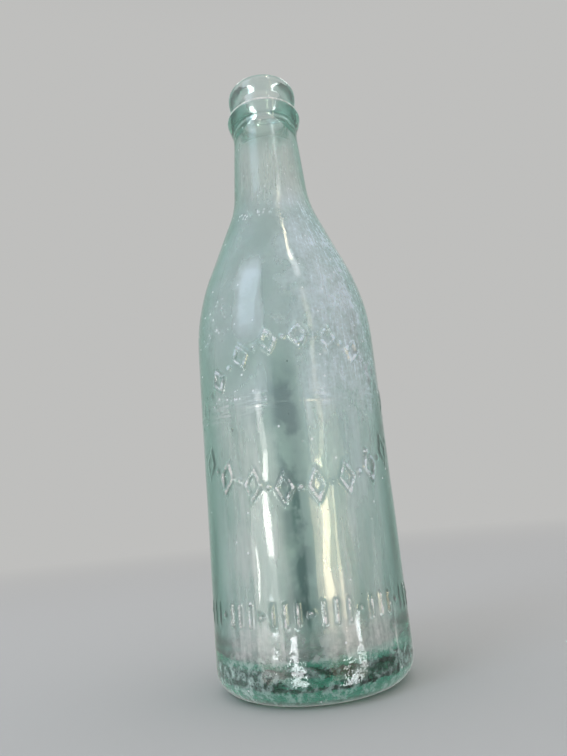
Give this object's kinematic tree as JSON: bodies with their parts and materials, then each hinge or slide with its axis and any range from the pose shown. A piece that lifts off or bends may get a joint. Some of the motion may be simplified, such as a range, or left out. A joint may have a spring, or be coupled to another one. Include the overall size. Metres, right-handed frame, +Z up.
{
  "type": "glass bottle",
  "caption": "Thick-walled round glass bottle with a sloping shoulder, a tapered neck and a ringed lip for a crimped cap, open and empty.",
  "frame": {"origin": "centre of the foot, on the plane that the bearing ring stands on", "axes": "+Z up the bottle's axis, from the foot to the mouth; the bottle is round, so +X and +Y are square to it"},
  "size_m": [0.061, 0.061, 0.213],
  "materials": {
    "green_glass": "old pale blue-green glass, glossy with a worn haze, small bubbles and soft ripples"
  },
  "bodies": {
    "root": {"bottle_glass": "green_glass"}
  },
  "joints": []
}
